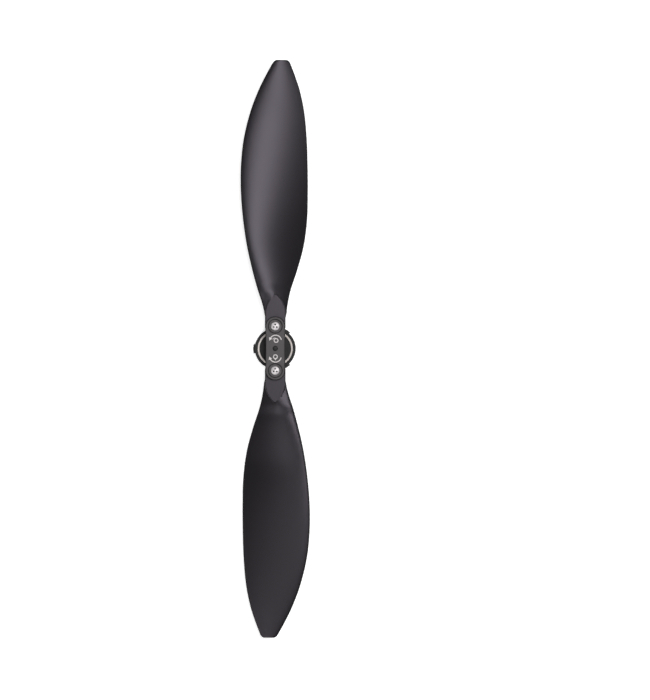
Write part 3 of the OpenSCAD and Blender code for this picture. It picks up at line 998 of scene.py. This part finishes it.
def base_disc():
    groove_out, groove_in = ring_r + SEAT_GAP, ring_r - RING_W - SEAT_GAP
    bore, seat = BUSH_R + SEAT_GAP, FLANGE_R + SEAT_GAP
    return lathe([
        (bore, 0, BASE_BORE_ROUND), (BASE_R, 0, BASE_FOOT_ROUND), (BASE_R, base_top, BASE_TOP_ROUND),
        (groove_out, base_top, GROOVE_ROUND), (groove_out, ring_foot, 0), (groove_in, ring_foot, 0),
        (groove_in, base_top, GROOVE_ROUND), (seat, base_top, SEAT_ROUND), (seat, flange_z, 0), (bore, flange_z, 0),
    ], steps=RIM_STEPS)


bayonet_body = piece_from(base_disc(), "bayonet_body")
print("base disc: %d faces" % len(bayonet_body.data.polygons))

# %% Three lugs at its foot
LUG_H = 2.0 * MM
LUG_HALF_ANGLE = math.radians(12.5)
LUG_TURNS = (180, 300, 60)
LUG_FOOT_ROUND, LUG_TOP_ROUND = 0.2 * MM, 0.3 * MM

lug_r = -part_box("bayonet_base")[0].x


def lug(degrees):
    inner = BASE_R - CUT
    bm = lathe([(inner, 0, 0), (lug_r, 0, LUG_FOOT_ROUND), (lug_r, LUG_H, LUG_TOP_ROUND), (inner, LUG_H, 0)],
               steps=RIM_STEPS)
    bmesh.ops.remove_doubles(bm, verts=bm.verts, dist=WELD)
    for side in (1, -1):
        turn = math.radians(degrees) + side * LUG_HALF_ANGLE
        out = Vector((-math.sin(turn), math.cos(turn), 0)) * side
        everything = bm.verts[:] + bm.edges[:] + bm.faces[:]
        bmesh.ops.bisect_plane(bm, geom=everything, plane_co=(0, 0, 0), plane_no=out, clear_outer=True)
    middle = Vector((math.cos(math.radians(degrees)), math.sin(math.radians(degrees)), 0))
    behind = [v for v in bm.verts if v.co.dot(middle) < 0]
    bmesh.ops.delete(bm, geom=behind, context="VERTS")
    bmesh.ops.holes_fill(bm, edges=[e for e in bm.edges if e.is_boundary])
    return bm


for turn in LUG_TURNS:
    combine(bayonet_body, "UNION", lug(turn))
print("lugs at %s degrees, %.1f mm from the axis" % (LUG_TURNS, lug_r / MM))

# %% [markdown]
# Four countersunk screws hold the base to the yoke above it. The same form serves twice: a little wider as
# the drill for their holes, and later, at its true size, as the screws.

# %% Screw holes in the base
BASE_SCREW_R = 6.44 * MM
BASE_SCREW_TURNS = (65, 115, 245, 295)
BASE_SCREW_HEAD_R, BASE_SCREW_SHANK_R = 1.9 * MM, 1.0 * MM
BASE_SCREW_RIM_Z = 0.05 * MM
BASE_SCREW_STEPS = 36
SCREW_GAP = 0.1 * MM


def base_screw_form(gap, low, high):
    head, shank = BASE_SCREW_HEAD_R + gap, BASE_SCREW_SHANK_R + gap
    return lathe([(0, low, 0), (head, low, 0), (head, BASE_SCREW_RIM_Z, 0), (shank, head - shank, 0),
                  (shank, high, 0), (0, high, 0)], steps=BASE_SCREW_STEPS)


def round_the_bush(make):
    """Four copies of a form on the circle of the base screws."""
    forms = []
    for turn in BASE_SCREW_TURNS:
        form = make()
        place = Matrix.Rotation(math.radians(turn), 3, "Z") @ Vector((BASE_SCREW_R, 0, 0))
        bmesh.ops.translate(form, verts=form.verts, vec=place)
        forms.append(form)
    return merge(*forms)


combine(bayonet_body, "DIFFERENCE", round_the_bush(lambda: base_screw_form(SCREW_GAP, -CUT, base_top + CUT)))
dress(bayonet_body, base_matte, "hub", "bayonet_base")

# %% [markdown]
# The pale ring in the top face tells the two turning directions apart. The bush in the middle is brass and
# has a flange, so it can't drop out towards the motor.

# %% Marker ring and bush
RING_ROUND = 0.18 * MM
BUSH_BORE_R = 3.0 * MM
BUSH_LEAD_IN, BUSH_FOOT_ROUND, BUSH_TOP_ROUND, FLANGE_ROUND = 0.25 * MM, 0.15 * MM, 0.1 * MM, 0.08 * MM

marker_ring = piece_from(tube(ring_r, ring_r - RING_W, ring_foot, base_top, RING_ROUND), "marker_ring")
dress(marker_ring, ring_satin, "hub", "id_ring")

bush_foot = floor_of("centre_bush")
turned_bush = piece_from(lathe([
    (BUSH_BORE_R, bush_foot, BUSH_LEAD_IN), (BUSH_R, bush_foot, BUSH_FOOT_ROUND), (BUSH_R, flange_z, 0),
    (FLANGE_R, flange_z, FLANGE_ROUND), (FLANGE_R, base_top, FLANGE_ROUND), (BUSH_BORE_R, base_top, BUSH_TOP_ROUND),
]), "turned_bush")
dress(turned_bush, bush_brass, "hub", "centre_bush")

# %% Base screws with hexagon sockets
SOCKET_R, SOCKET_DEPTH = 0.6 * MM, 0.6 * MM
HEXAGON = 6

grip_top = top_of("base_screws")
socket_screws = piece_from(round_the_bush(lambda: base_screw_form(0, 0, grip_top)), "socket_screws")
combine(socket_screws, "DIFFERENCE", round_the_bush(lambda: rod(SOCKET_R, -CUT, SOCKET_DEPTH, steps=HEXAGON)))
dress(socket_screws, screw_black, "hub", "base_screws")

# %% [markdown]
# ## Yoke and nuts
#
# The yoke is the lower jaw of the clamp: another round-ended bar, with a boss between the blade roots and
# a spigot that lines up the plate. Nuts sit in hexagonal pockets on its underside. A real nut has the
# corners of its ends turned off, so the hexagon is kept only where a turned, chamfered disc overlaps it.

# %% Clamp yoke
BOSS_R = 4.4 * MM
THREAD_GAP = 0.03 * MM
YOKE_ROUND = 0.25 * MM
spigot_r = CENTRE_HOLE_R - SEAT_GAP
nut_low, nut_high = floor_of("lock_nut_a"), top_of("lock_nut_a")
nut_corner = radius_of("lock_nut_a")
yoke_low, yoke_high = floor_of("hub_yoke"), top_of("hub_yoke")
arm_top = floor_of("pivot_sleeve_a")

clamp_yoke = piece_from(round_bar(radius_of("hub_yoke"), yoke_low, arm_top, YOKE_ROUND, YOKE_ROUND), "clamp_yoke")
combine(clamp_yoke, "UNION", rod(BOSS_R, yoke_low + CUT, plate_low))
combine(clamp_yoke, "UNION", lathe([(0, arm_top, 0), (spigot_r, arm_top, 0),
                                    (spigot_r, yoke_high, 2 * LIP), (0, yoke_high, 0)]))
combine(clamp_yoke, "DIFFERENCE", merge(
    *[rod(SCREW_HOLE_R, yoke_low - CUT, arm_top + CUT, side * pivot_y) for side in (1, -1)],
))
combine(clamp_yoke, "DIFFERENCE", merge(
    *[rod(nut_corner + SEAT_GAP, yoke_low - CUT, nut_high, side * pivot_y, HEXAGON) for side in (1, -1)],
    round_the_bush(lambda: rod(BASE_SCREW_SHANK_R + THREAD_GAP, yoke_low - CUT, grip_top + CUT)),
))
dress(clamp_yoke, base_matte, "hub", "hub_yoke")

# %% Chamfered nuts
NUT_CHAMFER = 0.35 * MM
BLANK_OVERSIZE = 0.02 * MM


def nut_blank():
    slope = NUT_CHAMFER / 2
    reach = nut_corner + BLANK_OVERSIZE
    return at_pivot(lathe([(0, nut_low, 0), (reach - NUT_CHAMFER, nut_low, 0), (reach, nut_low + slope, 0),
                           (reach, nut_high - slope, 0), (reach - NUT_CHAMFER, nut_high, 0), (0, nut_high, 0)]))


chamfered_nut_a = piece_from(rod(nut_corner, nut_low, nut_high, pivot_y, HEXAGON), "chamfered_nut_a")
combine(chamfered_nut_a, "INTERSECT", nut_blank())
combine(chamfered_nut_a, "DIFFERENCE", rod(SHANK_R + THREAD_GAP, nut_low - CUT, nut_high + CUT, pivot_y))
dress_pair(chamfered_nut_a, "chamfered_nut", steel_dark, "lock_nut")

# %% [markdown]
# ## Printed marks
#
# Pale marks on the plate show which way to turn the hub: an open padlock with an arrow for off, a closed
# one for on. They could be an image, but then they would blur up close. As thin films of ink they stay
# sharp: a band is an edge spun about a centre and given the thickness of a print.

# %% Arcs and arrowheads of ink
INK_ARC_STEPS = 32
FULL_TURN = 360


def band(centre, radius, width, start, sweep):
    """Flat arc of ink: a short edge spun about a centre, in degrees from +X."""
    bm = bmesh.new()
    aim = Matrix.Rotation(math.radians(start), 3, "Z") @ Vector((1, 0, 0))
    ends = [bm.verts.new(Vector(centre) + aim * (radius + half)) for half in (-width / 2, width / 2)]
    across = bm.edges.new(ends)
    bmesh.ops.spin(bm, geom=[across, *ends], cent=centre, axis=(0, 0, 1), angle=math.radians(sweep),
                   steps=INK_ARC_STEPS, use_merge=sweep == FULL_TURN)
    return bm


def arrow_head(centre, radius, turn):
    """Triangle that points along +Y, turned by some degrees."""
    bm = bmesh.new()
    bmesh.ops.create_circle(bm, cap_ends=True, segments=3, radius=radius)
    bmesh.ops.rotate(bm, verts=bm.verts, matrix=Matrix.Rotation(math.radians(turn), 3, "Z"))
    bmesh.ops.translate(bm, verts=bm.verts, vec=centre)
    return bm


print("ink arcs of %d steps" % INK_ARC_STEPS)

# %% Turn arrows and padlocks
INK_T, INK_STEP = 0.03 * MM, 0.002 * MM
ARROW_R, ARROW_W = 3.3 * MM, 0.5 * MM
ARROW_ENDS = (12, 158)
ARROW_HEAD_R = 1.15 * MM
LOCK_R, LOCK_W = 1.1 * MM, 0.48 * MM
SHACKLE_R, SHACKLE_W = 0.9 * MM, 0.35 * MM
SHACKLE_SHIFT = Vector((-0.9, 0.5, 0)) * MM
SHACKLE_START, SHACKLE_SWEEP = 30, 150
PIN_R = 0.75 * MM
# One row for each mark: its side, then the centres of its arrow and of its padlock in mm
MARKS = [
    (1, 0.2, 4.2, 0.5, 4.5),
    (-1, 0.1, -4.5, 0.1, -4.75),
]


def printed_marks():
    films = []
    for side, arc_x, arc_y, lock_x, lock_y in MARKS:
        arc_at = Vector((arc_x, arc_y, plate_top / MM)) * MM
        start, end = (side * turn for turn in ARROW_ENDS)
        films.append(band(arc_at, ARROW_R, ARROW_W, start, end - start))
        aim = Vector((math.cos(math.radians(end)), math.sin(math.radians(end)), 0))
        films.append(arrow_head(arc_at + aim * ARROW_R, ARROW_HEAD_R, end if side > 0 else end + 180))
        lock_at = Vector((lock_x, lock_y, plate_top / MM)) * MM
        films.append(band(lock_at, LOCK_R, LOCK_W, 0, FULL_TURN))
        if side > 0:
            films.append(band(lock_at + SHACKLE_SHIFT, SHACKLE_R, SHACKLE_W, SHACKLE_START, SHACKLE_SWEEP))
        else:
            films.append(arrow_head(lock_at - Vector((0, LOCK_R + LOCK_W / 2, 0)), PIN_R, 180))
    for layer, film in enumerate(films):
        downward = [f for f in film.faces if f.normal.z < 0]
        bmesh.ops.reverse_faces(film, faces=downward)
        foot = bmesh.ops.extrude_face_region(film, geom=film.faces[:], use_keep_orig=True)["geom"]
        sunk = [v for v in foot if isinstance(v, bmesh.types.BMVert)]
        bmesh.ops.translate(film, verts=sunk, vec=(0, 0, -2 * INK_T))
        bmesh.ops.translate(film, verts=film.verts, vec=(0, 0, INK_T + layer * INK_STEP))
    return merge(*films)


turn_marks = piece_from(printed_marks(), "turn_marks")
dress(turn_marks, mark_ink, "hub")
